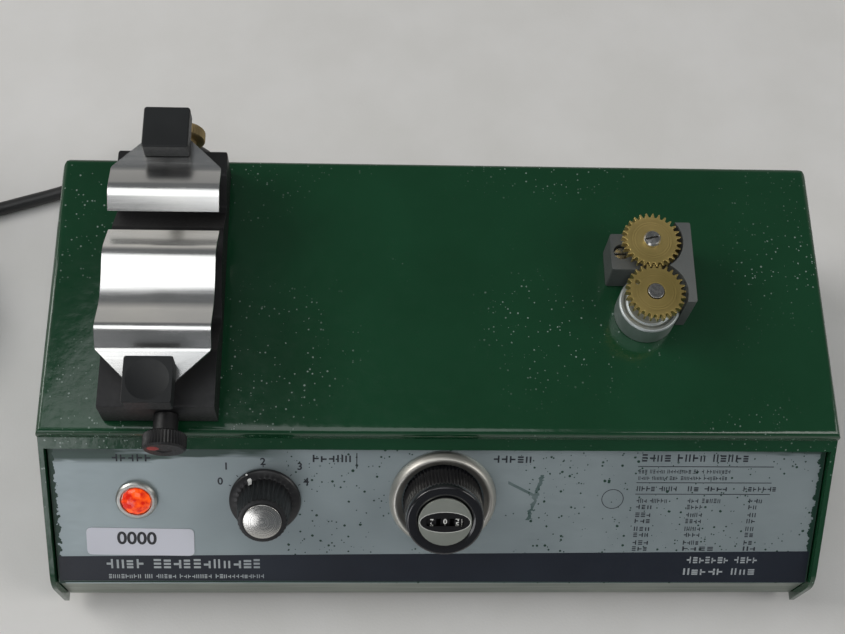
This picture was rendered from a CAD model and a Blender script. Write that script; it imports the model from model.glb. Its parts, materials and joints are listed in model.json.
import json
import math
import random

import bmesh
import bpy
from mathutils import Matrix, Vector


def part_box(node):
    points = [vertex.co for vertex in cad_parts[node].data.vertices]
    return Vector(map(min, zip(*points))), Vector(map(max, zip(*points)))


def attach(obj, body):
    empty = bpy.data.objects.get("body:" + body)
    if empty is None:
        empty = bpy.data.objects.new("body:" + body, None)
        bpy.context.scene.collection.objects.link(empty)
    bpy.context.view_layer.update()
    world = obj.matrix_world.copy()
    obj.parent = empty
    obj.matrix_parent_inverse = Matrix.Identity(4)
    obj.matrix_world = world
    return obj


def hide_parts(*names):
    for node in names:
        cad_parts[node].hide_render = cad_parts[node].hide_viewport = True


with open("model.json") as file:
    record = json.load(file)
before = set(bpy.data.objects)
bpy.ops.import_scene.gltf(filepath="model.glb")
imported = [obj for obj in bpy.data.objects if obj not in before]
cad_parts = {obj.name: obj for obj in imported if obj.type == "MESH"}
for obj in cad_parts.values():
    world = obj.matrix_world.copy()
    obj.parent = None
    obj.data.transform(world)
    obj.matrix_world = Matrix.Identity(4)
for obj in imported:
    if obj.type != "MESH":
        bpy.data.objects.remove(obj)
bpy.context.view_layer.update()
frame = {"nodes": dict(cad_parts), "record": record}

# ---------------------------------------------------------------- chassis and panels
# The pan, the rear panel and the plate behind the controls are 1.5 mm sheet aluminium, cut and
# folded, left bare. The rear panel has eight vent slots. Their edges are broken by hand.

MM = 0.001
BODY_OF = {
    member: body
    for body, members in frame["record"]["behaviour"]["bodies"].items()
    for member in members
}


def effect(name, inputs, output):
    """An empty shader node group with these number or vector inputs and one output."""
    group = bpy.data.node_groups.new(name, "ShaderNodeTree")
    for label, start in inputs.items():
        kind = "NodeSocketVector" if isinstance(start, tuple) else "NodeSocketFloat"
        group.interface.new_socket(label, in_out="INPUT", socket_type=kind).default_value = start
    group.interface.new_socket(output, in_out="OUTPUT", socket_type="NodeSocketFloat")
    return group, group.nodes.new("NodeGroupInput"), group.nodes.new("NodeGroupOutput")


def arithmetic(tree, operation, *values):
    """A Math node of that operation; each value is a number or another node's output."""
    node = tree.nodes.new("ShaderNodeMath")
    node.operation = operation
    for socket, value in zip(node.inputs, values):
        if isinstance(value, bpy.types.NodeSocket):
            tree.links.new(value, socket)
        else:
            socket.default_value = value
    return node.outputs[0]


def build_grain():
    """Uneven tone: from fine grain to broad patches by Scale, and drawn out by Stretch."""
    group, given, result = effect("grain", {"Scale": 100.0, "Stretch": (1.0, 1.0, 1.0)}, "Value")
    place = group.nodes.new("ShaderNodeTexCoord")
    stretch = group.nodes.new("ShaderNodeVectorMath")
    stretch.operation = "MULTIPLY"
    noise = group.nodes.new("ShaderNodeTexNoise")
    noise.inputs["Detail"].default_value = 3
    group.links.new(place.outputs["Object"], stretch.inputs[0])
    group.links.new(given.outputs["Stretch"], stretch.inputs[1])
    group.links.new(stretch.outputs[0], noise.inputs["Vector"])
    group.links.new(given.outputs["Scale"], noise.inputs["Scale"])
    group.links.new(noise.outputs["Fac"], result.inputs["Value"])
    return group


def build_specks():
    """Separate round specks of dust or paint, up to Size across, in a share of the places."""
    group, given, result = effect("specks", {"Size": 0.001, "Share": 0.2}, "Mask")
    place = group.nodes.new("ShaderNodeTexCoord")
    cells = group.nodes.new("ShaderNodeTexVoronoi")
    scale = arithmetic(group, "DIVIDE", 0.8, given.outputs["Size"])
    group.links.new(place.outputs["Object"], cells.inputs["Vector"])
    group.links.new(scale, cells.inputs["Scale"])
    pick = group.nodes.new("ShaderNodeSeparateColor")
    group.links.new(cells.outputs["Color"], pick.inputs["Color"])
    chosen = arithmetic(group, "LESS_THAN", pick.outputs["Red"], given.outputs["Share"])
    reach = arithmetic(group, "MULTIPLY", pick.outputs["Green"], 0.42)
    inside = arithmetic(group, "LESS_THAN", cells.outputs["Distance"], reach)
    group.links.new(arithmetic(group, "MULTIPLY", chosen, inside), result.inputs["Mask"])
    return group


GRAIN = build_grain()
SPECKS = build_specks()


def placed(tree, group, **values):
    """Puts an effect in a material with these values and returns its output."""
    node = tree.nodes.new("ShaderNodeGroup")
    node.node_tree = group
    for label, value in values.items():
        node.inputs[label].default_value = value
    return node.outputs[0]


def ranged(tree, value, low, high, start=0.3, end=0.7):
    """Spreads a value that runs from start to end over low to high."""
    node = tree.nodes.new("ShaderNodeMapRange")
    tree.links.new(value, node.inputs["Value"])
    for label, number in (("From Min", start), ("From Max", end), ("To Min", low), ("To Max", high)):
        node.inputs[label].default_value = number
    return node.outputs["Result"]


def tinted(tree, mask, base, other):
    """The base colour with another over it where the mask is 1."""
    node = tree.nodes.new("ShaderNodeMix")
    node.data_type = "RGBA"
    tree.links.new(mask, node.inputs["Factor"])
    for socket, color in ((node.inputs[6], base), (node.inputs[7], other)):
        if isinstance(color, bpy.types.NodeSocket):
            tree.links.new(color, socket)
        else:
            socket.default_value = (*color, 1)
    return node.outputs[2]


def bumped(tree, height, depth):
    """Raises the surface by the height, depth metres deep."""
    node = tree.nodes.new("ShaderNodeBump")
    node.inputs["Distance"].default_value = depth
    tree.links.new(height, node.inputs["Height"])
    tree.links.new(node.outputs["Normal"], tree.nodes["Principled BSDF"].inputs["Normal"])
    return node


def surface(name, color, worn, gloss, metal, scale, stretch=(1, 1, 1), depth=0.00002, **sockets):
    """A finish that drifts from one colour to another, with grain in its gloss and its surface."""
    material = bpy.data.materials.new(name)
    material.use_nodes = True
    tree = material.node_tree
    shader = tree.nodes["Principled BSDF"]
    shader.inputs["Metallic"].default_value = metal
    for label, value in sockets.items():
        shader.inputs[label.replace("_", " ")].default_value = value
    patches = ranged(tree, placed(tree, GRAIN, Scale=22.0), 0, 1, 0.38, 0.66)
    tree.links.new(tinted(tree, patches, color, worn), shader.inputs["Base Color"])
    grain = placed(tree, GRAIN, Scale=scale, Stretch=stretch)
    tree.links.new(ranged(tree, grain, *gloss), shader.inputs["Roughness"])
    bumped(tree, grain, depth)
    return material


def show(node, material):
    """Gives a CAD piece its finish."""
    mesh = frame["nodes"][node].data
    mesh.materials.clear()
    mesh.materials.append(material)


def settle(name, bm, material, body, smooth_to=32, place=None):
    """Makes a piece of a worked mesh: shaded smooth up to that angle, and fixed to its body."""
    bm.normal_update()
    limit = math.radians(smooth_to)
    for edge in bm.edges:
        edge.smooth = len(edge.link_faces) == 2 and edge.calc_face_angle(0) < limit
    for face in bm.faces:
        face.smooth = True
    mesh = bpy.data.meshes.new(name)
    bm.to_mesh(mesh)
    bm.free()
    if place:
        mesh.transform(place)
    for extra in ("custom_normal", "UVMap"):
        if extra in mesh.attributes:
            mesh.attributes.remove(mesh.attributes[extra])
    mesh.materials.append(material)
    piece = bpy.data.objects.new(name, mesh)
    bpy.context.scene.collection.objects.link(piece)
    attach(piece, body)
    return piece


def dressed(node, material, edge=0.3, smooth_to=32, break_from=28):
    """A finished piece from a CAD piece: flat faces made whole and sharp edges broken."""
    bm = bmesh.new()
    bm.from_mesh(frame["nodes"][node].data)
    bmesh.ops.remove_doubles(bm, verts=bm.verts, dist=2e-6)
    flat = math.radians(0.6)
    bmesh.ops.dissolve_limit(bm, angle_limit=flat, verts=bm.verts, edges=bm.edges)
    piece = settle(node + ".finished", bm, material, BODY_OF[node], smooth_to)
    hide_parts(node)
    if edge:
        bevel = piece.modifiers.new("broken_edges", "BEVEL")
        bevel.width = edge * MM
        bevel.segments = 2
        bevel.limit_method = "ANGLE"
        bevel.angle_limit = math.radians(break_from)
        bevel.use_clamp_overlap = True
        bevel.harden_normals = True
    return piece


bare_sheet = surface(
    "bare_sheet", (0.27, 0.3, 0.26), (0.19, 0.22, 0.19), (0.35, 0.55), 0.75, 300, (0.08, 1, 1)
)
for node in ("chassis_pan", "rear_panel", "front_panel"):
    dressed(node, bare_sheet, edge=0.15)

# ---------------------------------------------------------------- inside the case
# The works stand on the pan: a motor and gearbox under the drive head, a laminated transformer
# in varnish, a glass-epoxy board with its capacitor, and the bodies of the switch and dial.

iron = surface("varnished_iron", (0.05, 0.045, 0.04), (0.09, 0.06, 0.04), (0.35, 0.6), 0.4, 900)
motor_steel = surface("motor_steel", (0.4, 0.4, 0.39), (0.3, 0.3, 0.3), (0.25, 0.4), 1, 400)
board_laminate = surface("board_laminate", (0.03, 0.1, 0.04), (0.05, 0.14, 0.05), (0.3, 0.45), 0, 500)
sleeve = surface("capacitor_sleeve", (0.02, 0.04, 0.1), (0.03, 0.05, 0.12), (0.2, 0.35), 0, 400)
phenolic = surface("moulded_phenolic", (0.008, 0.008, 0.01), (0.014, 0.014, 0.015), (0.3, 0.45), 0, 700)
inner_pieces = {
    "transformer": iron,
    "gearbox": iron,
    "motor": motor_steel,
    "circuit_board": board_laminate,
    "capacitor": sleeve,
    "lamp_holder": phenolic,
    "range_switch": phenolic,
    "flow_potentiometer": phenolic,
}
for node, material in inner_pieces.items():
    show(node, material)

# ---------------------------------------------------------------- feet
# Four moulded rubber feet, slightly barrelled, each with a screw recess underneath. They have
# gone grey with shelf dust.

rubber = surface("moulded_rubber", (0.012, 0.012, 0.012), (0.03, 0.029, 0.027), (0.55, 0.8), 0, 1200)
for node in ("foot_front_left", "foot_front_right", "foot_back_left", "foot_back_right"):
    dressed(node, rubber, edge=0.4)

# ---------------------------------------------------------------- cover
# One sheet of 2 mm steel folded over the top, sides and front lip, then sprayed by hand in a
# thick dark green enamel. The paint has levelled into soft waves, with dust caught in it.

ENAMEL = (0.0052, 0.046, 0.0175)
ENAMEL_THIN = (0.0068, 0.054, 0.0215)


def build_enamel():
    material = surface(
        "green_enamel", ENAMEL, ENAMEL_THIN, (0.13, 0.2), 0, 210, depth=0.00007,
        Coat_Weight=0.2, Coat_Roughness=0.05,
    )
    tree = material.node_tree
    shader = tree.nodes["Principled BSDF"]
    paint = shader.inputs["Base Color"].links[0].from_socket
    dust = placed(tree, SPECKS, Size=0.0008, Share=0.16)
    gritty = placed(tree, GRAIN, Scale=14.0)
    patchy = arithmetic(tree, "MULTIPLY", dust, ranged(tree, gritty, 0, 0.8, 0.44, 0.6))
    tree.links.new(tinted(tree, patchy, paint, (0.32, 0.4, 0.36)), shader.inputs["Base Color"])
    waves = placed(tree, GRAIN, Scale=210.0)
    nibs = placed(tree, SPECKS, Size=0.0016, Share=0.12)
    height = arithmetic(tree, "ADD", waves, arithmetic(tree, "MULTIPLY", nibs, 0.35))
    bumped(tree, height, 0.00012)
    return material


green_enamel = build_enamel()
dressed("cover", green_enamel, edge=0, smooth_to=40)

# ---------------------------------------------------------------- cover screws
# Four M4 pan-head screws, two on each side, each with a cross recess driven in. Bright steel.

bright_steel = surface(
    "bright_steel", (0.56, 0.56, 0.54), (0.44, 0.43, 0.41), (0.2, 0.34), 1, 700, depth=0.000004
)


def recessed(piece, blades):
    """Cuts slots into a piece: each blade is a (centre, half size) box in metres."""
    bm = bmesh.new()
    for centre, half in blades:
        made = bmesh.ops.create_cube(bm, size=2)["verts"]
        bmesh.ops.scale(bm, vec=half, verts=made)
        bmesh.ops.translate(bm, vec=centre, verts=made)
    tool_mesh = bpy.data.meshes.new("slot_cutter")
    bm.to_mesh(tool_mesh)
    bm.free()
    tool = bpy.data.objects.new("slot_cutter", tool_mesh)
    bpy.context.scene.collection.objects.link(tool)
    cut = piece.modifiers.new("slot", "BOOLEAN")
    cut.object = tool
    cut.solver = "EXACT"
    cut.use_self = True
    bpy.context.view_layer.update()
    evaluated = piece.evaluated_get(bpy.context.evaluated_depsgraph_get())
    shaped = bpy.data.meshes.new_from_object(evaluated)
    piece.modifiers.clear()
    piece.data = shaped
    bpy.data.objects.remove(tool)


for side in ("left", "right"):
    for place in ("front", "back"):
        node = f"cover_screw_{side}_{place}"
        piece = dressed(node, bright_steel, edge=0)
        low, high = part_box(node)
        centre = (low + high) / 2
        centre.x = low.x if side == "left" else high.x
        long_way = 1.9 * MM
        across = 0.35 * MM
        deep = 1.1 * MM
        recessed(piece, [(centre, (deep, long_way, across)), (centre, (deep, across, long_way))])

# ---------------------------------------------------------------- fuse holder
# A screw-cap fuse holder of black phenolic beside the cord, its cap milled for the fingers.

dressed("fuse_holder", phenolic, edge=0.25)

# ---------------------------------------------------------------- control panel face
# A satin aluminium sheet printed in dark ink and stuck to the plate. The green spray has crept
# in round its edges and spattered it, and a cleaned patch right of the dial is smeared.

ROOT_HALF = math.sqrt(0.5)
OVERLAY_TOP_DOWN = 4.6  # the sheet's upper edge, down the slope from the cover's front bend
OVERLAY_DEPTH = 3.0  # the sheet's face, behind the slope of the cover's sides
overlay_low, overlay_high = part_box("panel_overlay")
face_top = Vector((0, overlay_high.y - 0.5 * MM * ROOT_HALF, overlay_high.z))
up_slope = Vector((0, ROOT_HALF, ROOT_HALF))
out_of_slope = Vector((0, -ROOT_HALF, ROOT_HALF))
slope_origin = face_top + MM * (OVERLAY_TOP_DOWN * up_slope + OVERLAY_DEPTH * out_of_slope)
SLOPE = Matrix.Translation(slope_origin) @ Matrix.Rotation(math.pi / 4, 4, "X") @ Matrix.Scale(MM, 4)


TOP_RIM = 0.0006
SIDE_RIM = 0.0018
SPATTER_FROM = -0.062
SMEAR_GREEN = (0.02, 0.075, 0.06)
SPRAY_GREEN = (0.008, 0.04, 0.024)


def both(tree, first, second):
    return arithmetic(tree, "MULTIPLY", first, second)


def either(tree, first, second):
    return arithmetic(tree, "MAXIMUM", first, second)


def apart(tree, value, middle):
    """How far a value is from the middle, to either side."""
    return arithmetic(tree, "ABSOLUTE", arithmetic(tree, "SUBTRACT", value, middle))


def within(tree, value, middle, reach):
    """1 where a value is nearer than reach to the middle."""
    return arithmetic(tree, "LESS_THAN", apart(tree, value, middle), reach)


def add_overspray(tree, across, down, ragged, streaks):
    """Green paint past its masking: a ragged rim, and streaks of mist at both top corners."""
    top_edge = arithmetic(tree, "LESS_THAN", arithmetic(tree, "ADD", down, ragged), TOP_RIM)
    from_middle = arithmetic(tree, "ADD", arithmetic(tree, "ABSOLUTE", across), ragged)
    side_edge = arithmetic(tree, "GREATER_THAN", from_middle, overlay_high.x - SIDE_RIM)
    corners = ranged(tree, apart(tree, across, 0.03), 0, 1, 0.085, 0.125)
    density = ranged(tree, streaks, 0, 1.5, 0.4, 0.6)
    fading = ranged(tree, down, 0, 1.5, 0.001, 0.0085)
    mist = both(tree, arithmetic(tree, "SUBTRACT", density, fading), corners)
    mist = ranged(tree, mist, 0, 0.85, 0, 0.5)
    return either(tree, mist, either(tree, top_edge, side_edge))


def add_spatter(tree, across, ragged):
    """Drops of the green paint in loose patches, on all but the left end."""
    patches = ranged(tree, placed(tree, GRAIN, Scale=45.0), 0, 1, 0.44, 0.47)
    large_drops = placed(tree, SPECKS, Size=0.0013, Share=0.16)
    small_drops = placed(tree, SPECKS, Size=0.0008, Share=0.13)
    drops = both(tree, either(tree, large_drops, small_drops), patches)
    spattered_side = arithmetic(tree, "GREATER_THAN", arithmetic(tree, "ADD", across, ragged), SPATTER_FROM)
    return both(tree, drops, spattered_side)


def add_smear(tree, across, down, ragged):
    """A dried smear right of the dial: a leaning stroke, and a branch that falls to meet it."""
    leaning = arithmetic(tree, "ADD", across, arithmetic(tree, "MULTIPLY", down, 0.22))
    leaning = arithmetic(tree, "ADD", leaning, ragged)
    stroke = both(tree, within(tree, leaning, 0.0438, 0.0009), within(tree, down, 0.0235, 0.0105))
    falling = arithmetic(tree, "SUBTRACT", down, arithmetic(tree, "MULTIPLY", across, 0.55))
    branch = both(tree, within(tree, falling, 0.0015, 0.0007), within(tree, across, 0.0335, 0.0062))
    return either(tree, stroke, branch)


def build_overlay():
    material = surface(
        "satin_overlay", (0.36, 0.42, 0.435), (0.31, 0.365, 0.38), (0.34, 0.44), 0.5, 700,
        (0.3, 1, 1), depth=0.000005,
    )
    tree = material.node_tree
    shader = tree.nodes["Principled BSDF"]
    metal = shader.inputs["Base Color"].links[0].from_socket
    place = tree.nodes.new("ShaderNodeTexCoord")
    axes = tree.nodes.new("ShaderNodeSeparateXYZ")
    tree.links.new(place.outputs["Object"], axes.inputs[0])
    across = axes.outputs["X"]
    below_top = arithmetic(tree, "SUBTRACT", face_top.z, axes.outputs["Z"])
    down = arithmetic(tree, "DIVIDE", below_top, ROOT_HALF)
    wander = arithmetic(tree, "SUBTRACT", placed(tree, GRAIN, Scale=420.0), 0.5)
    ragged = arithmetic(tree, "MULTIPLY", wander, 0.005)
    streaks = placed(tree, GRAIN, Scale=90.0, Stretch=(0.25, 1.6, 1.6))
    overspray = add_overspray(tree, across, down, ragged, streaks)
    paint = either(tree, overspray, add_spatter(tree, across, ragged))
    smear = both(tree, add_smear(tree, across, down, ragged), ranged(tree, streaks, 0.35, 1))
    smeared = tinted(tree, smear, metal, SMEAR_GREEN)
    tree.links.new(tinted(tree, paint, smeared, SPRAY_GREEN), shader.inputs["Base Color"])
    tree.links.new(ranged(tree, paint, 0.5, 0, 0, 1), shader.inputs["Metallic"])
    return material


satin_overlay = build_overlay()
dressed("panel_overlay", satin_overlay, edge=0)

# ---------------------------------------------------------------- panel printing
# Screen-printed ink: a dark band along the foot, captions, the ruled chart and the numbered
# scale round the range knob. Captions are rows of plain strokes, which say nothing.

INK_LIFT = 0.03 - OVERLAY_DEPTH  # ink stands this far above the overlay
BAND_TOP = {"left": 55.9, "right": 53.3}
BAND_FOOT = {"left": 67.5, "right": 68.6}
LAMP_AT = (-122.1, 29.0)  # the controls: across from the middle and down the slope, in mm
RANGE_AT = (-70.8, 29.4)
FLOW_AT = (0.9, 28.6)
NAME_TOP = 8.8
NAME_HEIGHT = 3.3
NAME_WIDTH = 16.2
CHART_LEFT = 80
ROW_TOP = 28.3
ROW_PITCH = 2.9
PAIR_PITCH = 6.6  # the chart's rows stand in pairs
SCALE_SHIFT = -0.6  # the scale stands a little left of its knob
SCALE_HALF = 17.3  # its figures go round a square with well-rounded corners
SCALE_ROUNDING = 4.7
SCALE_ANGLES = (-64, -44, 0, 44, 64)
lettering_order = random.Random(7)

dark_ink = surface("dark_ink", (0.012, 0.015, 0.022), (0.02, 0.024, 0.032), (0.4, 0.55), 0, 900)
band_ink = surface("band_ink", (0.0075, 0.011, 0.02), (0.012, 0.017, 0.028), (0.32, 0.45), 0, 900)
pale_ink = surface("pale_ink", (0.42, 0.45, 0.46), (0.3, 0.33, 0.35), (0.4, 0.55), 0, 900)
green_line = surface("green_line", (0.006, 0.03, 0.018), (0.01, 0.05, 0.03), (0.3, 0.5), 0, 900)


def block(bm, x0, x1, down0, down1, lift=INK_LIFT):
    """A patch of ink: x across, down the slope, in mm. The foot may slope: down1 as a pair."""
    low_left, low_right = down1 if isinstance(down1, tuple) else (down1, down1)
    top_left, top_right = down0 if isinstance(down0, tuple) else (down0, down0)
    corners = [(x0, -low_left), (x1, -low_right), (x1, -top_right), (x0, -top_left)]
    bm.faces.new([bm.verts.new((x, y, lift)) for x, y in corners])


def caption(bm, x0, x1, down0, down1, letters, lift=INK_LIFT):
    """A caption as rows of strokes: letters is how many signs each word has."""
    cells = sum(letters) + 0.7 * (len(letters) - 1)
    cell = (x1 - x0) / cells
    height = down1 - down0
    x = x0
    for word in letters:
        for letter in range(word):
            rise = 0 if letter == 0 else 0.2 * height * lettering_order.random()
            width = cell * (0.62 + 0.16 * lettering_order.random())
            stem = 0.3 * width
            right_stem = x + width - stem
            middle = (down0 + down1 + rise) / 2
            bar = 0.11 * height
            shape = lettering_order.randrange(4)
            if shape in (0, 2):
                block(bm, x, x + stem, down0 + rise, down1, lift)
            if shape in (1, 2):
                block(bm, right_stem, x + width, down0 + rise, down1, lift)
            if shape in (0, 1, 3):
                block(bm, x, x + width, middle - bar, middle + bar, lift)
            if shape == 3:
                block(bm, x, x + width, down0 + rise, down0 + rise + 2 * bar, lift)
                block(bm, x, x + width, down1 - 2 * bar, down1, lift)
            x += cell
        x += 0.7 * cell


def ring(bm, x, down, radius, width, sides=48, lift=INK_LIFT):
    """A printed circle."""
    turns = [2 * math.pi * i / sides for i in range(sides)]
    inner, outer = [
        [bm.verts.new((x + r * math.cos(a), -down + r * math.sin(a), lift)) for a in turns]
        for r in (radius - width / 2, radius + width / 2)
    ]
    for i in range(sides):
        after = (i + 1) % sides
        bm.faces.new((inner[i], outer[i], outer[after], inner[after]))


def figures(bm, text, x, y, height, lift, turn=0.0):
    """Plain numerals, centred on x and y."""
    curve = bpy.data.curves.new("numeral", "FONT")
    curve.body = text
    curve.size = height / 0.7
    curve.offset = 0.035 * height
    curve.align_x = "CENTER"
    curve.align_y = "CENTER"
    holder = bpy.data.objects.new("numeral", curve)
    mesh = bpy.data.meshes.new_from_object(holder)
    mesh.transform(Matrix.Translation((x, y, lift)) @ Matrix.Rotation(turn, 4, "Z"))
    bm.from_mesh(mesh)
    bpy.data.objects.remove(holder)
    bpy.data.curves.remove(curve)


half_band = overlay_high.x / MM - 0.4
band = bmesh.new()
top_line = (BAND_TOP["left"], BAND_TOP["right"])
block(band, -half_band, half_band, top_line, (BAND_FOOT["left"], BAND_FOOT["right"]))
settle("panel_band", band, band_ink, "case", place=SLOPE)

edging = bmesh.new()
foot_line = (BAND_FOOT["left"] + 0.9, BAND_FOOT["right"] + 0.2)
block(edging, -half_band, half_band, (BAND_FOOT["left"] + 0.05, BAND_FOOT["right"] + 0.05), foot_line)
settle("panel_band_edging", edging, green_line, "case", place=SLOPE)

print_work = bmesh.new()


def chart_text(inset, width, top, height, letters):
    """A caption of the chart, so far in from its left edge."""
    left = CHART_LEFT + inset
    caption(print_work, left, left + width, top, top + height, letters)


def scale_place(angle):
    """Where a figure of the scale stands from its knob's centre: across and up."""
    way = Vector((math.sin(angle), math.cos(angle)))
    reach = sum(abs(part) ** SCALE_ROUNDING for part in way) ** (-1 / SCALE_ROUNDING)
    return SCALE_HALF * reach * way + Vector((SCALE_SHIFT, 0))


for left in (LAMP_AT[0] - 8.9, RANGE_AT[0] + 19.2, FLOW_AT[0] + 20):
    caption(print_work, left, left + NAME_WIDTH, NAME_TOP, NAME_TOP + NAME_HEIGHT, [5])
chart_text(1, 44.4, 7.9, 3.4, [4, 4, 5])
for down in (13.4, 20.8, 26.1):
    block(print_work, CHART_LEFT - 0.4, CHART_LEFT + 55.3, down, down + 0.35)
chart_text(0.2, 37.8, 14.9, 1.8, [3, 5, 8, 2, 1, 8])
chart_text(0.2, 36.8, 18, 1.7, [4, 5, 3, 7, 8])
for inset, width, letters in ((0, 17, [4, 4]), (21, 17, [2, 4]), (44, 14, [7])):
    chart_text(inset, width, 22.6, 2.3, letters)
for row in range(8):
    down = ROW_TOP + PAIR_PITCH * (row // 2) + ROW_PITCH * (row % 2)
    first_row = row == 0
    wide_row = row in (0, 7)
    chart_text(0.4, 13 if first_row else 7, down, 2.1, [3, 5] if first_row else [3])
    chart_text(21.5, 14 if wide_row else 7, down, 2.1, [3, 5] if first_row else [4])
    chart_text(47, 6 if wide_row else 4, down, 2.1, [3] if first_row else [2])
ring(print_work, 70.4, 28.6, 4.4, 0.3)
block(print_work, -34.2, -33.8, 8, 15)
for figure, angle in enumerate(SCALE_ANGLES):
    offset = scale_place(math.radians(angle))
    figures(print_work, str(figure), RANGE_AT[0] + offset.x, offset.y - RANGE_AT[1], 3.1, INK_LIFT)
    away = offset.normalized()
    start = Vector((RANGE_AT[0], -RANGE_AT[1])) + 14.9 * away
    for step in (0, 0.3, 0.6):
        dot = start + (step + 0.2) * away
        block(print_work, dot.x - 0.18, dot.x + 0.18, -dot.y - 0.18, -dot.y + 0.18)
settle("panel_captions", print_work, dark_ink, "case", place=SLOPE)

BAND_LIFT = INK_LIFT + 0.03
pale_work = bmesh.new()
caption(pale_work, -136, -72, 57.2, 61.6, [4, 11], BAND_LIFT)
caption(pale_work, -135.4, -71.5, 64.4, 66.4, [8, 2, 5, 8, 12], BAND_LIFT)
caption(pale_work, 104, 134.5, 55.9, 59.1, [7, 4], BAND_LIFT)
caption(pale_work, 103, 134, 61.6, 64.8, [5, 3], BAND_LIFT)
settle("panel_band_captions", pale_work, pale_ink, "case", place=SLOPE)

# ---------------------------------------------------------------- label
# A paper sticker with rounded corners, numbered with a hand stamp, a little crooked and soiled.

sticker_paper = surface("sticker_paper", (0.66, 0.67, 0.74), (0.6, 0.61, 0.66), (0.45, 0.6), 0, 500)
dressed("asset_label", sticker_paper, edge=0.05)
label_ink = surface("label_ink", (0.03, 0.03, 0.035), (0.06, 0.06, 0.07), (0.5, 0.65), 0, 900)
stamped = bmesh.new()
label_middle = sum(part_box("asset_label"), Vector()) / 2
label_x = label_middle.x / MM
figures(stamped, "0000", label_x - 1.4, -47.4, 5.6, 0.42 - OVERLAY_DEPTH, -0.016)
settle("label_number", stamped, label_ink, "case", place=SLOPE)

# ---------------------------------------------------------------- pilot lamp
# A bright turned bezel holds a cut jewel of clear red resin, lit from behind by a small bulb.


def on_slope(at):
    """The frame of a control: its centre on the slope, its axis out of the panel, in mm."""
    return SLOPE @ Matrix.Translation((at[0], -at[1], 0))


def turned(profile, sides, ridges=0):
    """Turns a profile of (radius, height, ridge depth) points about its axis, closed in on itself."""
    bm = bmesh.new()
    rows = []
    for point in profile:
        radius, height, depth = (*point, 0)[:3]
        if radius == 0:
            rows.append([bm.verts.new((0, 0, height))] * sides)
            continue
        row = []
        for i in range(sides):
            angle = 2 * math.pi * i / sides
            cut = radius - depth * (0.5 - 0.5 * math.cos(ridges * angle))
            row.append(bm.verts.new((cut * math.cos(angle), cut * math.sin(angle), height)))
        rows.append(row)
    for lower, upper in zip(rows, rows[1:]):
        for i in range(sides):
            after = (i + 1) % sides
            corners = []
            for vert in (lower[i], lower[after], upper[after], upper[i]):
                if vert not in corners:
                    corners.append(vert)
            if len(corners) > 2:
                bm.faces.new(corners)
    bmesh.ops.remove_doubles(bm, verts=bm.verts, dist=1e-5)
    bmesh.ops.recalc_face_normals(bm, faces=bm.faces)
    return bm


spun_aluminium = surface("spun_aluminium", (0.5, 0.5, 0.47), (0.4, 0.39, 0.36), (0.26, 0.4), 1, 700)
dressed("lamp_bezel", spun_aluminium, edge=0.2)


def build_jewel():
    material = surface("red_jewel", (0.5, 0.012, 0.004), (0.35, 0.006, 0.003), (0.12, 0.2), 0, 500)
    tree = material.node_tree
    shader = tree.nodes["Principled BSDF"]
    shader.inputs["Emission Strength"].default_value = 0.8
    glow = placed(tree, GRAIN, Scale=330.0)
    bright = ranged(tree, glow, 0, 1, 0.4, 0.62)
    lit = tinted(tree, bright, (0.42, 0.008, 0.002), (1, 0.13, 0.012))
    tree.links.new(lit, shader.inputs["Emission Color"])
    return material


JEWEL_PROFILE = [
    (0, -9), (4.3, -9), (4.3, -1.4), (5.8, -1.4), (5.75, -0.5), (4.9, 0.5), (3.4, 1.2), (1.7, 1.6), (0, 1.75),
]
jewel = turned(JEWEL_PROFILE, 12)
lamp_jewel = settle("lamp_jewel.cut", jewel, build_jewel(), "case", 4, on_slope(LAMP_AT))
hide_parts("lamp_jewel")

# ---------------------------------------------------------------- range knob
# A moulded black skirted knob, fluted for the fingers, with a white wedge let into its skirt and
# a spun aluminium cap pressed into its end. It turns a plain steel shaft.

knob_black = surface("knob_black", (0.008, 0.008, 0.009), (0.016, 0.016, 0.017), (0.3, 0.42), 0, 700)
pointer_white = surface("pointer_white", (0.86, 0.86, 0.84), (0.78, 0.78, 0.74), (0.45, 0.6), 0, 900)
FLUTES = 32
RANGE_PROFILE = [
    (5.3, -2.5), (14.4, -2.5), (14.4, -1.9), (14.2, -1.6), (13.6, -1.1), (11.6, -0.8), (11.2, -0.5, 0.5),
    (10.8, 3, 0.7), (10.3, 8, 0.65), (9.95, 12.4, 0.6), (9.8, 13.1, 0.3), (9.3, 13.7), (8.8, 13.8),
    (7.9, 13.8), (7.9, 13.2), (0, 13.2), (0, 9.3), (3.5, 9.3), (3.5, -0.5), (5.3, -0.5), (5.3, -2.5),
]
range_frame = on_slope(RANGE_AT)
fluted = turned(RANGE_PROFILE, FLUTES * 8, FLUTES)
range_knob = settle(
    "range_knob.fluted", fluted, knob_black, "range_selector", 40, range_frame
)
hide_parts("range_knob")

POINTER_TURN = math.radians(30)  # up and to the left, at its rest position
pointer = bmesh.new()
on_skirt = [(-0.95, 11.4, -0.66), (0.95, 11.4, -0.66), (0.3, 14.6, -1.5), (-0.3, 14.6, -1.5)]
on_side = [(-0.75, 11.1, 2.0), (0.75, 11.1, 2.0), (0.85, 11.45, -0.65), (-0.85, 11.45, -0.65)]
for corners in (on_skirt, on_side):
    pointer.faces.new([pointer.verts.new(corner) for corner in corners])
pointer_place = range_frame @ Matrix.Rotation(POINTER_TURN, 4, "Z")
settle("range_knob_pointer", pointer, pointer_white, "range_selector", place=pointer_place)


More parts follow.
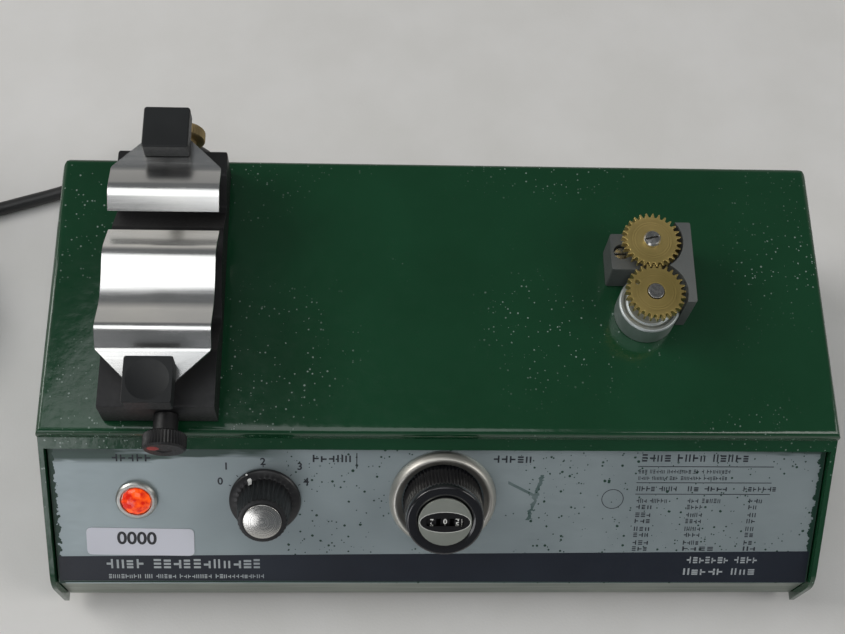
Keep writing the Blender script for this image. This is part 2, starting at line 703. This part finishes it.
def build_turning():
    """Fine rings round an axis, as a lathe tool or a spinning buff leaves them."""
    inputs = {"Centre": (0.0, 0.0, 0.0), "Axis": (0.0, 0.0, 1.0), "Pitch": 0.0003}
    group, given, result = effect("turning_marks", inputs, "Value")
    place = group.nodes.new("ShaderNodeTexCoord")
    reach = group.nodes.new("ShaderNodeVectorMath")
    reach.operation = "SUBTRACT"
    group.links.new(place.outputs["Object"], reach.inputs[0])
    group.links.new(given.outputs["Centre"], reach.inputs[1])
    around = group.nodes.new("ShaderNodeVectorMath")
    around.operation = "CROSS_PRODUCT"
    group.links.new(reach.outputs[0], around.inputs[0])
    group.links.new(given.outputs["Axis"], around.inputs[1])
    radius = group.nodes.new("ShaderNodeVectorMath")
    radius.operation = "LENGTH"
    group.links.new(around.outputs[0], radius.inputs[0])
    steps = arithmetic(group, "DIVIDE", radius.outputs["Value"], given.outputs["Pitch"])
    noise = group.nodes.new("ShaderNodeTexNoise")
    noise.noise_dimensions = "1D"
    noise.inputs["Scale"].default_value = 1
    group.links.new(steps, noise.inputs["W"])
    group.links.new(noise.outputs["Fac"], result.inputs["Value"])
    return group


TURNING = build_turning()


def lathed(name, color, worn, gloss, centre, axis, pitch, depth):
    """Metal with turning marks about one axis."""
    material = surface(name, color, worn, gloss, 1, 800)
    tree = material.node_tree
    marks = placed(tree, TURNING, Centre=tuple(centre), Axis=tuple(axis), Pitch=pitch)
    bumped(tree, marks, depth)
    tree.links.new(ranged(tree, marks, *gloss), tree.nodes["Principled BSDF"].inputs["Roughness"])
    return material


range_centre = range_frame.translation
cap_metal = lathed(
    "range_cap_metal", (0.72, 0.71, 0.68), (0.6, 0.59, 0.56), (0.14, 0.3),
    range_centre, out_of_slope, 0.00035, 0.00003,
)
dressed("range_knob_cap", cap_metal, edge=0.15)
dressed("range_shaft", bright_steel, edge=0.1)

# ---------------------------------------------------------------- flow dial
# A ten-turn counting dial: a fixed core with three number wheels behind a window, and round it a
# knurled black knob with a polished rim. A dished aluminium bezel covers the panel hole.

flow_frame = on_slope(FLOW_AT)
flow_centre = flow_frame.translation
bezel_metal = lathed(
    "bezel_metal", (0.62, 0.61, 0.56), (0.52, 0.5, 0.46), (0.4, 0.52),
    flow_centre, out_of_slope, 0.0005, 0.00002,
)
BEZEL_PROFILE = [
    (16.7, -2.7), (21.75, -2.7), (21.75, -2.2), (21.4, -1.2), (20.7, -0.1), (20.2, 0.5), (19.7, 0.85),
    (19.2, 0.9), (18.7, 0.7), (18, 0.1), (17.3, -0.55), (16.9, -0.8), (16.7, -0.95), (16.7, -2.7),
]
bezel = turned(BEZEL_PROFILE, 96)
flow_bezel = settle("flow_bezel.spun", bezel, bezel_metal, "case", 40, flow_frame)
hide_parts("flow_bezel")

KNURLS = 66
FLOW_PROFILE = [
    (10.9, -2.1), (16.0, -2.1), (16.2, -1.8, 0.3), (16.1, -1.2, 0.55), (15.75, 6, 0.55), (15.5, 10.6, 0.5),
    (15.45, 11.2, 0.2), (15.4, 11.5), (15.4, 14.1), (15.25, 14.6), (14.9, 14.9), (14.4, 15), (12.2, 15),
    (11.8, 14.9), (11.3, 14.7), (10.9, 14.5), (10.9, -2.1),
]
rim_black = surface(
    "rim_black", (0.006, 0.006, 0.008), (0.01, 0.01, 0.012), (0.09, 0.2), 0, 500, Coat_Weight=0.4
)
knurled = turned(FLOW_PROFILE, KNURLS * 4, KNURLS)
flow_knob = settle("flow_knob.knurled", knurled, rim_black, "flow_dial", 40, flow_frame)
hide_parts("flow_knob")

dressed("flow_dial_core", phenolic, edge=0.15)

dial_metal = surface(
    "dial_metal", (0.5, 0.52, 0.46), (0.42, 0.44, 0.39), (0.3, 0.42), 0.8, 1200, depth=0.000008
)
dressed("flow_dial_face", dial_metal, edge=0.1)

wheel_black = surface(
    "wheel_black", (0.004, 0.004, 0.005), (0.007, 0.007, 0.008), (0.4, 0.55), 0, 900,
    depth=0.000005, Specular_IOR_Level=0.25,
)
WINDOW_HALF = (7.3, 1.7)
ELLIPSE_HALF = (9.9, 4.5)
MASK_LIFT = 15.74
OUTLINE_WIDTH = 0.22


def ellipse_plate(half, hole, lift, sides=72):
    """A flat ellipse with a rectangular or elliptical hole, as one ring of faces."""
    bm = bmesh.new()
    outer, inner = [], []
    for i in range(sides):
        angle = 2 * math.pi * (i + 0.5) / sides
        x, y = half[0] * math.cos(angle), half[1] * math.sin(angle)
        outer.append(bm.verts.new((x, y, lift)))
        if callable(hole):
            inner.append(bm.verts.new((*hole(angle), lift)))
        else:
            reach = min(hole[0] / max(abs(x), 1e-6), hole[1] / max(abs(y), 1e-6))
            inner.append(bm.verts.new((x * min(reach, 0.98), y * min(reach, 0.98), lift)))
    for i in range(sides):
        after = (i + 1) % sides
        bm.faces.new((outer[i], outer[after], inner[after], inner[i]))
    return bm


mask_ring = ellipse_plate(ELLIPSE_HALF, WINDOW_HALF, MASK_LIFT)
settle("dial_window_mask", mask_ring, wheel_black, "case", place=flow_frame)


def mask_edge(angle):
    return (ELLIPSE_HALF[0] * math.cos(angle), ELLIPSE_HALF[1] * math.sin(angle))


outline_half = (ELLIPSE_HALF[0] + OUTLINE_WIDTH, ELLIPSE_HALF[1] + OUTLINE_WIDTH)
outline_ring = ellipse_plate(outline_half, mask_edge, MASK_LIFT + 0.01)
settle("dial_window_line", outline_ring, pointer_white, "case", place=flow_frame)

# ---------------------------------------------------------------- number wheels
# Three black wheels on one axle behind the window, each with white figures 0 to 9 round its rim.
# The units wheel also carries fine graduations, because it turns steadily.

WHEEL_RADIUS = 4.1
WHEEL_AXLE = 11.2
WHEEL_STEP = 5.3
FIGURE_REACH = WHEEL_RADIUS + 0.04
UNITS_SHIFT = -0.45  # the figures of the units wheel make room for its graduations
TICKS = 50


def on_wheel(x, angle):
    """A point on a wheel's rim, x along the axle, turned back from the window by an angle."""
    return Vector((x, FIGURE_REACH * math.sin(angle), WHEEL_AXLE + FIGURE_REACH * math.cos(angle)))


wheel_shown = {"hundreds": 7.0, "tens": 0.0, "units": 4.5}
for index, (wheel, shown) in enumerate(wheel_shown.items()):
    body = f"digit_{wheel}"
    dressed(f"flow_digit_{wheel}", wheel_black, edge=0.1)
    marks = bmesh.new()
    middle = (index - 1) * WHEEL_STEP
    shift = UNITS_SHIFT if wheel == "units" else 0
    for figure in range(10):
        flat = bmesh.new()
        figures(flat, str(figure), 0, 0, 2.1, 0)
        around = (shown - figure) * math.radians(36)
        for vert in flat.verts:
            vert.co = on_wheel(middle + vert.co.x + shift, around + vert.co.y / WHEEL_RADIUS)
        kept = bpy.data.meshes.new("figure")
        flat.to_mesh(kept)
        flat.free()
        marks.from_mesh(kept)
        bpy.data.meshes.remove(kept)
    if wheel == "units":
        start = middle + 1.05
        spread = math.radians(1.3)
        for tick in range(TICKS):
            angle = 2 * math.pi * tick / TICKS
            end = start + (0.7 if tick % 5 == 0 else 0.4)
            corners = [
                on_wheel(x, angle + turn)
                for x, turn in ((start, -spread), (end, -spread), (end, spread), (start, spread))
            ]
            marks.faces.new([marks.verts.new(corner) for corner in corners])
    settle(f"figures_{wheel}", marks, pointer_white, body, place=flow_frame)

# ---------------------------------------------------------------- syringe cradle
# A milled aluminium block with two V grooves for syringes of two sizes, screwed down to the
# cover. Black anodised, its sharp edges broken.

black_anodise = surface(
    "black_anodise", (0.008, 0.008, 0.009), (0.016, 0.016, 0.017), (0.4, 0.55), 0.2, 900, depth=0.00001
)
dressed("cradle_block", black_anodise, edge=0.45, smooth_to=30)

# ---------------------------------------------------------------- hand screws
# Knurled hand screws that pinch the clamp posts: the front one black with a spot of red paint
# on its end, the back one brass.

tarnished_brass = surface(
    "tarnished_brass", (0.4, 0.31, 0.16), (0.27, 0.2, 0.1), (0.4, 0.55), 0.85, 600, depth=0.00002
)
red_spot_paint = surface("red_spot_paint", (0.4, 0.012, 0.008), (0.25, 0.01, 0.008), (0.3, 0.5), 0, 900)
HAND_KNURLS = 40
hand_screws = {
    "front": (7.8, 6.4, -1, black_anodise, "black_anodised"),
    "back": (9.2, 5.4, 1, tarnished_brass, "brass"),
}
cradle_low, cradle_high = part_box("cradle_block")
for place, (neck, head, way, material, slot) in hand_screws.items():
    node = f"cradle_knob_{place}"
    low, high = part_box(node)
    seat_y = cradle_low.y if way < 0 else cradle_high.y
    centre = Vector(((low.x + high.x) / 2, seat_y, (low.z + high.z) / 2))
    radius = (high.x - low.x) / 2 / MM
    end = neck + head
    profile = [
        (0, -1), (2.2, -1), (2.2, 0.3), (4.8, 0.3), (4.8, neck), (radius - 0.8, neck),
        (radius - 0.15, neck + 0.5, 0.1), (radius, neck + 0.8, 0.55), (radius, end - 1, 0.55),
        (radius - 0.15, end - 0.7, 0.1), (radius - 1, end), (3.2, end), (2.8, end - 0.4), (0, end - 0.4),
    ]
    stand = Matrix.Translation(centre) @ Matrix.Rotation(-way * math.pi / 2, 4, "X") @ Matrix.Scale(MM, 4)
    knurled = turned(profile, HAND_KNURLS * 4, HAND_KNURLS)
    screw = settle(f"hand_screw_{place}", knurled, material, BODY_OF[node], 40, stand)
    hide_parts(node)
    if place == "front":
        spot_profile = [(0, end + 0.06), (1.9, end + 0.05), (2.3, end + 0.01), (2.1, end - 0.1)]
        spot_profile.append((0, end - 0.1))
        spot = turned(spot_profile, 20)
        spot_place = stand @ Matrix.Translation((-3.9, 2.2, 0))
        settle("hand_screw_front_spot", spot, red_spot_paint, BODY_OF[node], 40, spot_place)

# ---------------------------------------------------------------- clamp plates
# Stainless spring plates, sheared and folded across their width to grip a syringe barrel, with a
# tapered tongue under the head. Polished, with fine scratches along the folds.

polished_stainless = surface(
    "polished_stainless", (0.9, 0.89, 0.86), (0.8, 0.8, 0.79), (0.2, 0.27), 1, 1400,
    (0.03, 1, 1), depth=0.0000012, Anisotropic=0.35,
)
for place in ("front", "back"):
    dressed(f"clamp_plate_{place}", polished_stainless, edge=0.2, smooth_to=24)

# ---------------------------------------------------------------- clamp heads and posts
# Moulded black caps with a shallow thumb dish, each on a plain ground steel post.

cap_black = surface(
    "cap_black", (0.007, 0.008, 0.009), (0.013, 0.015, 0.016), (0.42, 0.55), 0, 900,
    depth=0.00001, Specular_IOR_Level=0.35,
)
for place in ("front", "back"):
    dressed(f"clamp_head_{place}", cap_black, edge=0.6, smooth_to=8)
    dressed(f"clamp_post_{place}", bright_steel, edge=0.2)

# ---------------------------------------------------------------- drive head
# A turned, zinc-plated housing round the output shaft, and a bead-blasted block that carries the
# second gear and guards both. Its two slotted screws have old grime in their slots.

shaft_centre = sum(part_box("output_housing"), Vector()) / 2
zinc_plate = lathed(
    "zinc_plate", (0.56, 0.6, 0.6), (0.42, 0.46, 0.45), (0.4, 0.58),
    shaft_centre, (0, 0, 1), 0.0006, 0.00003,
)
dressed("output_housing", zinc_plate, edge=0.25)
blasted_grey = surface(
    "blasted_grey", (0.12, 0.13, 0.128), (0.17, 0.18, 0.175), (0.45, 0.6), 0.6, 1600, depth=0.00004
)
dressed("gear_block", blasted_grey, edge=0.25)
dressed("drive_shaft", bright_steel, edge=0.25)
slot_grime = surface("slot_grime", (0.012, 0.011, 0.009), (0.03, 0.026, 0.02), (0.6, 0.8), 0, 1500)
GRIME_HALF = (2.5 * MM, 0.36 * MM, 0.08 * MM)
for node, deep, turn in (("gear_shoulder_screw", 1.1, 12), ("gear_block_screw", 1.0, 0)):
    dressed(node, bright_steel, edge=0.12)
    low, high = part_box(node)
    slot_floor = (low + high) / 2
    slot_floor.z = high.z - (deep - 0.1) * MM
    bm = bmesh.new()
    bmesh.ops.create_cube(bm, size=2)
    bmesh.ops.scale(bm, vec=GRIME_HALF, verts=bm.verts)
    place = Matrix.Translation(slot_floor) @ Matrix.Rotation(math.radians(turn), 4, "Z")
    settle(node + ".slot_grime", bm, slot_grime, BODY_OF[node], place=place)

# ---------------------------------------------------------------- change gears
# A meshing pair of 28-tooth spur gears, hobbed from brass. The faces are turned and have gone
# unevenly dull.

for node in ("gear_drive", "gear_driven"):
    low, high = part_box(node)
    centre = (low + high) / 2
    gear_brass = lathed(
        node + "_brass", (0.82, 0.62, 0.24), (0.46, 0.35, 0.12), (0.3, 0.5),
        centre, (0, 0, 1), 0.0005, 0.00004,
    )
    dressed(node, gear_brass, edge=0.18, smooth_to=20)

# ---------------------------------------------------------------- mains cord
# 6.3 mm three-core mains lead in black PVC. It leaves the back through a ribbed rubber bushing,
# drops to the table, and its spare length is wound in a tied coil beside the pump.

CORD_RADIUS = 3.15
COIL_CENTRE = (-263.0, 37.75)
COIL_FLOOR = 1.5
INNER_TURN = 34.35
OUTER_TURN = 40.65
LAYER = [COIL_FLOOR + CORD_RADIUS * (1 + 2 * i) for i in range(3)]
CORD_ROUTE = [
    (-100, 95.05, 25), (-101.6, 105.25, 24.4), (-106.3, 113.45, 23), (-113.5, 119.45, 20.9),
    (-122.3, 122.65, 18.4), (-131.7, 122.65, 15.6), (-141.6, 119.35, 12.5), (-151, 114.85, 9.4),
    (-166, 109.15, 5.5), (-181, 104.15, 3.6), (-195, 99.65, 3.4), (-209, 95.15, 3.4), (-223, 90.95, 3.6),
    (-237, 87.35, 4.2), (-249, 84.75, 4.65),
]
INSIDE_BUSHING = (-100, 85, 25)
# Where each turn lies, and the angles from which and by which it crosses to its own place
TURNS = [
    (OUTER_TURN, LAYER[0], 107.4, 107.4),
    (INNER_TURN, LAYER[0], 304, 404),
    (INNER_TURN, LAYER[1], 654, 720),
    (INNER_TURN, LAYER[2], 980, 1046),
    (OUTER_TURN, LAYER[2], 1292, 1392),
    (OUTER_TURN, LAYER[1], 1636, 1700),
]
COIL_END = 1990
PLUG_END = [(-300.6, 10.5, LAYER[1]), (-299.8, 2.5, LAYER[1]), (-299.6, -5.95, LAYER[1])]


def coil_point(degrees):
    """A point of the wound cord at that angle from the start of its first turn."""
    radius, height = TURNS[0][:2]
    for reach, level, leave, arrive in TURNS[1:]:
        share = min(max((degrees - leave) / (arrive - leave), 0), 1)
        eased = share * share * (3 - 2 * share)
        radius += (reach - radius) * eased
        height += (level - height) * eased
    angle = math.radians(degrees)
    return (COIL_CENTRE[0] + radius * math.cos(angle), COIL_CENTRE[1] + radius * math.sin(angle), height)


def smoothed(points, steps):
    """Points of a smooth line through the given ones."""
    line = []
    padded = [INSIDE_BUSHING, *points, points[-1]]
    for before, start, end, after in zip(padded, padded[1:], padded[2:], padded[3:]):
        b, s, e, a = map(Vector, (before, start, end, after))
        for step in range(steps):
            t = step / steps
            curve = 2 * s + (e - b) * t
            curve += (2 * b - 5 * s + 4 * e - a) * t ** 2
            curve += (3 * s - b - 3 * e + a) * t ** 3
            line.append(curve / 2)
    line.append(Vector(points[-1]))
    return line


COIL_START = TURNS[0][2]
COIL_STEP = 7.5
steps = int((COIL_END - COIL_START) / COIL_STEP) + 1
wound = [coil_point(COIL_START + COIL_STEP * i) for i in range(steps)]
cord_line = [point * MM for point in smoothed([*CORD_ROUTE, *wound, *PLUG_END], 3)]
cord_curve = bpy.data.curves.new("mains_cord", "CURVE")
cord_curve.dimensions = "3D"
cord_curve.bevel_depth = CORD_RADIUS * MM
cord_curve.bevel_resolution = 5
cord_curve.use_fill_caps = True
cord_spline = cord_curve.splines.new("POLY")
cord_spline.points.add(len(cord_line) - 1)
for point, place in zip(cord_spline.points, cord_line):
    point.co = (*place, 1)
cord_spline.use_smooth = True
pvc = surface("cord_pvc", (0.009, 0.009, 0.01), (0.02, 0.02, 0.02), (0.36, 0.5), 0, 600)
cord_curve.materials.append(pvc)
mains_cord = bpy.data.objects.new("mains_cord", cord_curve)
bpy.context.scene.collection.objects.link(mains_cord)
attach(mains_cord, "case")
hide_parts("cord", "cord_coil", "cord_tail")

BUSHING_PROFILE = [(0, -6), (6, -6), (6, 0.3), (8.2, 0.3), (8.4, 0.6), (8.4, 2.0), (8.1, 2.4)]
for rib in range(5):
    start = 3.2 + 3.5 * rib
    radius = 6.5 - 0.42 * rib
    BUSHING_PROFILE += [(radius, start), (radius, start + 1.9)]
    BUSHING_PROFILE += [(radius - 0.8, start + 2.3), (radius - 0.9, start + 3.1)]
bushing_low, bushing_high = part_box("cord_bushing")
bushing_end = (bushing_high.y - bushing_low.y) / MM - 6
BUSHING_PROFILE += [(4.2, bushing_end - 0.6), (3.8, bushing_end), (0, bushing_end)]
bushing_middle = (bushing_low + bushing_high) / 2
bushing_seat = Vector((bushing_middle.x, bushing_low.y + 6 * MM, bushing_middle.z))
bushing_place = Matrix.Translation(bushing_seat) @ Matrix.Rotation(-math.pi / 2, 4, "X") @ Matrix.Scale(MM, 4)
ribbed = turned(BUSHING_PROFILE, 40)
bushing = settle("cord_bushing.ribbed", ribbed, rubber, "case", 40, bushing_place)
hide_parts("cord_bushing")

# ---------------------------------------------------------------- plug and tie
# A moulded three-pin plug with a tapered tail, its blades of drawn brass, and a flat black strap
# that holds the coil.

plug_body = dressed("plug_body", rubber, edge=0.6)
blade_brass = surface("blade_brass", (0.6, 0.45, 0.2), (0.5, 0.36, 0.16), (0.18, 0.32), 1, 700)
plug_pins = dressed("plug_pins", blade_brass, edge=0.2)
strap = surface(
    "woven_strap", (0.01, 0.01, 0.011), (0.018, 0.018, 0.018), (0.6, 0.8), 0, 1500, depth=0.00005
)
cord_tie = dressed("cord_tie", strap, edge=0.25)

# ---------------------------------------------------------------- table, light and camera
# A pale cloth on a table, under soft daylight from the upper left, a pale ceiling and a dim room.
# The camera looks steeply down from in front, tipped a little to one side.

floor_bm = bmesh.new()
bmesh.ops.create_grid(floor_bm, x_segments=40, y_segments=40, size=2.4)
for vert in floor_bm.verts:
    vert.co.z = -0.0002
floor_mesh = bpy.data.meshes.new("table")
floor_bm.to_mesh(floor_mesh)
floor_bm.free()
table_cloth = surface(
    "table_cloth", (0.72, 0.71, 0.69), (0.76, 0.75, 0.735), (0.7, 0.9), 0, 900, depth=0.00006
)
floor_mesh.materials.append(table_cloth)
table = bpy.data.objects.new("table", floor_mesh)
bpy.context.scene.collection.objects.link(table)

world = bpy.data.worlds.new("room")
bpy.context.scene.world = world
world.use_nodes = True
sky = world.node_tree
sky_place = sky.nodes.new("ShaderNodeTexCoord")
sky_axes = sky.nodes.new("ShaderNodeSeparateXYZ")
sky.links.new(sky_place.outputs["Generated"], sky_axes.inputs[0])
overhead = ranged(sky, sky_axes.outputs["Z"], 0, 1, 0.25, 0.6)
behind = ranged(sky, sky_axes.outputs["Y"], 0, 1, -0.4, 0.3)
wall = tinted(sky, behind, (0.12, 0.13, 0.14), (0.5, 0.49, 0.47))
sky.links.new(tinted(sky, overhead, wall, (0.1, 0.105, 0.11)), sky.nodes["Background"].inputs["Color"])
sky.nodes["Background"].inputs["Strength"].default_value = 1.0


def area_light(name, place, target, size, power, color):
    light = bpy.data.lights.new(name, "AREA")
    light.shape = "RECTANGLE"
    light.size, light.size_y = size
    light.energy = power
    light.color = color
    lamp = bpy.data.objects.new(name, light)
    lamp.location = place
    lamp.rotation_euler = (Vector(target) - Vector(place)).to_track_quat("-Z", "Y").to_euler()
    bpy.context.scene.collection.objects.link(lamp)


area_light("window", (-2.7, 0.7, 2.3), (0, 0, 0), (1.8, 1.6), 52, (1, 0.985, 0.96))
area_light("ceiling", (-0.35, -0.25, 2.5), (-0.1, 0, 0), (2.2, 1.2), 13, (0.97, 0.985, 1))
area_light("far_window", (2.6, -0.9, 2.6), (0, 0, 0), (1.6, 1.6), 30, (1, 0.98, 0.95))
area_light("front_window", (-1.2, -2.3, 0.8), (0, 0, 0.05), (1.2, 1.0), 9, (0.97, 0.97, 1))

camera_place = Vector((-0.033456, -0.207505, 0.589274))
camera_aim = Vector((-0.003276, 0.041892, 0.0))
CAMERA_ROLL = math.radians(6.866)
view = (camera_aim - camera_place).normalized()
level = Vector((view.y, -view.x, 0)).normalized()
upward = level.cross(view)
right = math.cos(CAMERA_ROLL) * level + math.sin(CAMERA_ROLL) * upward
above = right.cross(view)
camera_data = bpy.data.cameras.new("camera")
camera_data.sensor_fit = "HORIZONTAL"
camera_data.sensor_width = 36  # mm, as the lens is
camera_data.lens = 56.92
camera_data.clip_start = 0.01
camera = bpy.data.objects.new("camera", camera_data)
camera.matrix_world = Matrix.Translation(camera_place) @ Matrix((right, above, -view)).transposed().to_4x4()
bpy.context.scene.collection.objects.link(camera)
bpy.context.scene.camera = camera
bpy.context.scene.view_settings.view_transform = "Standard"
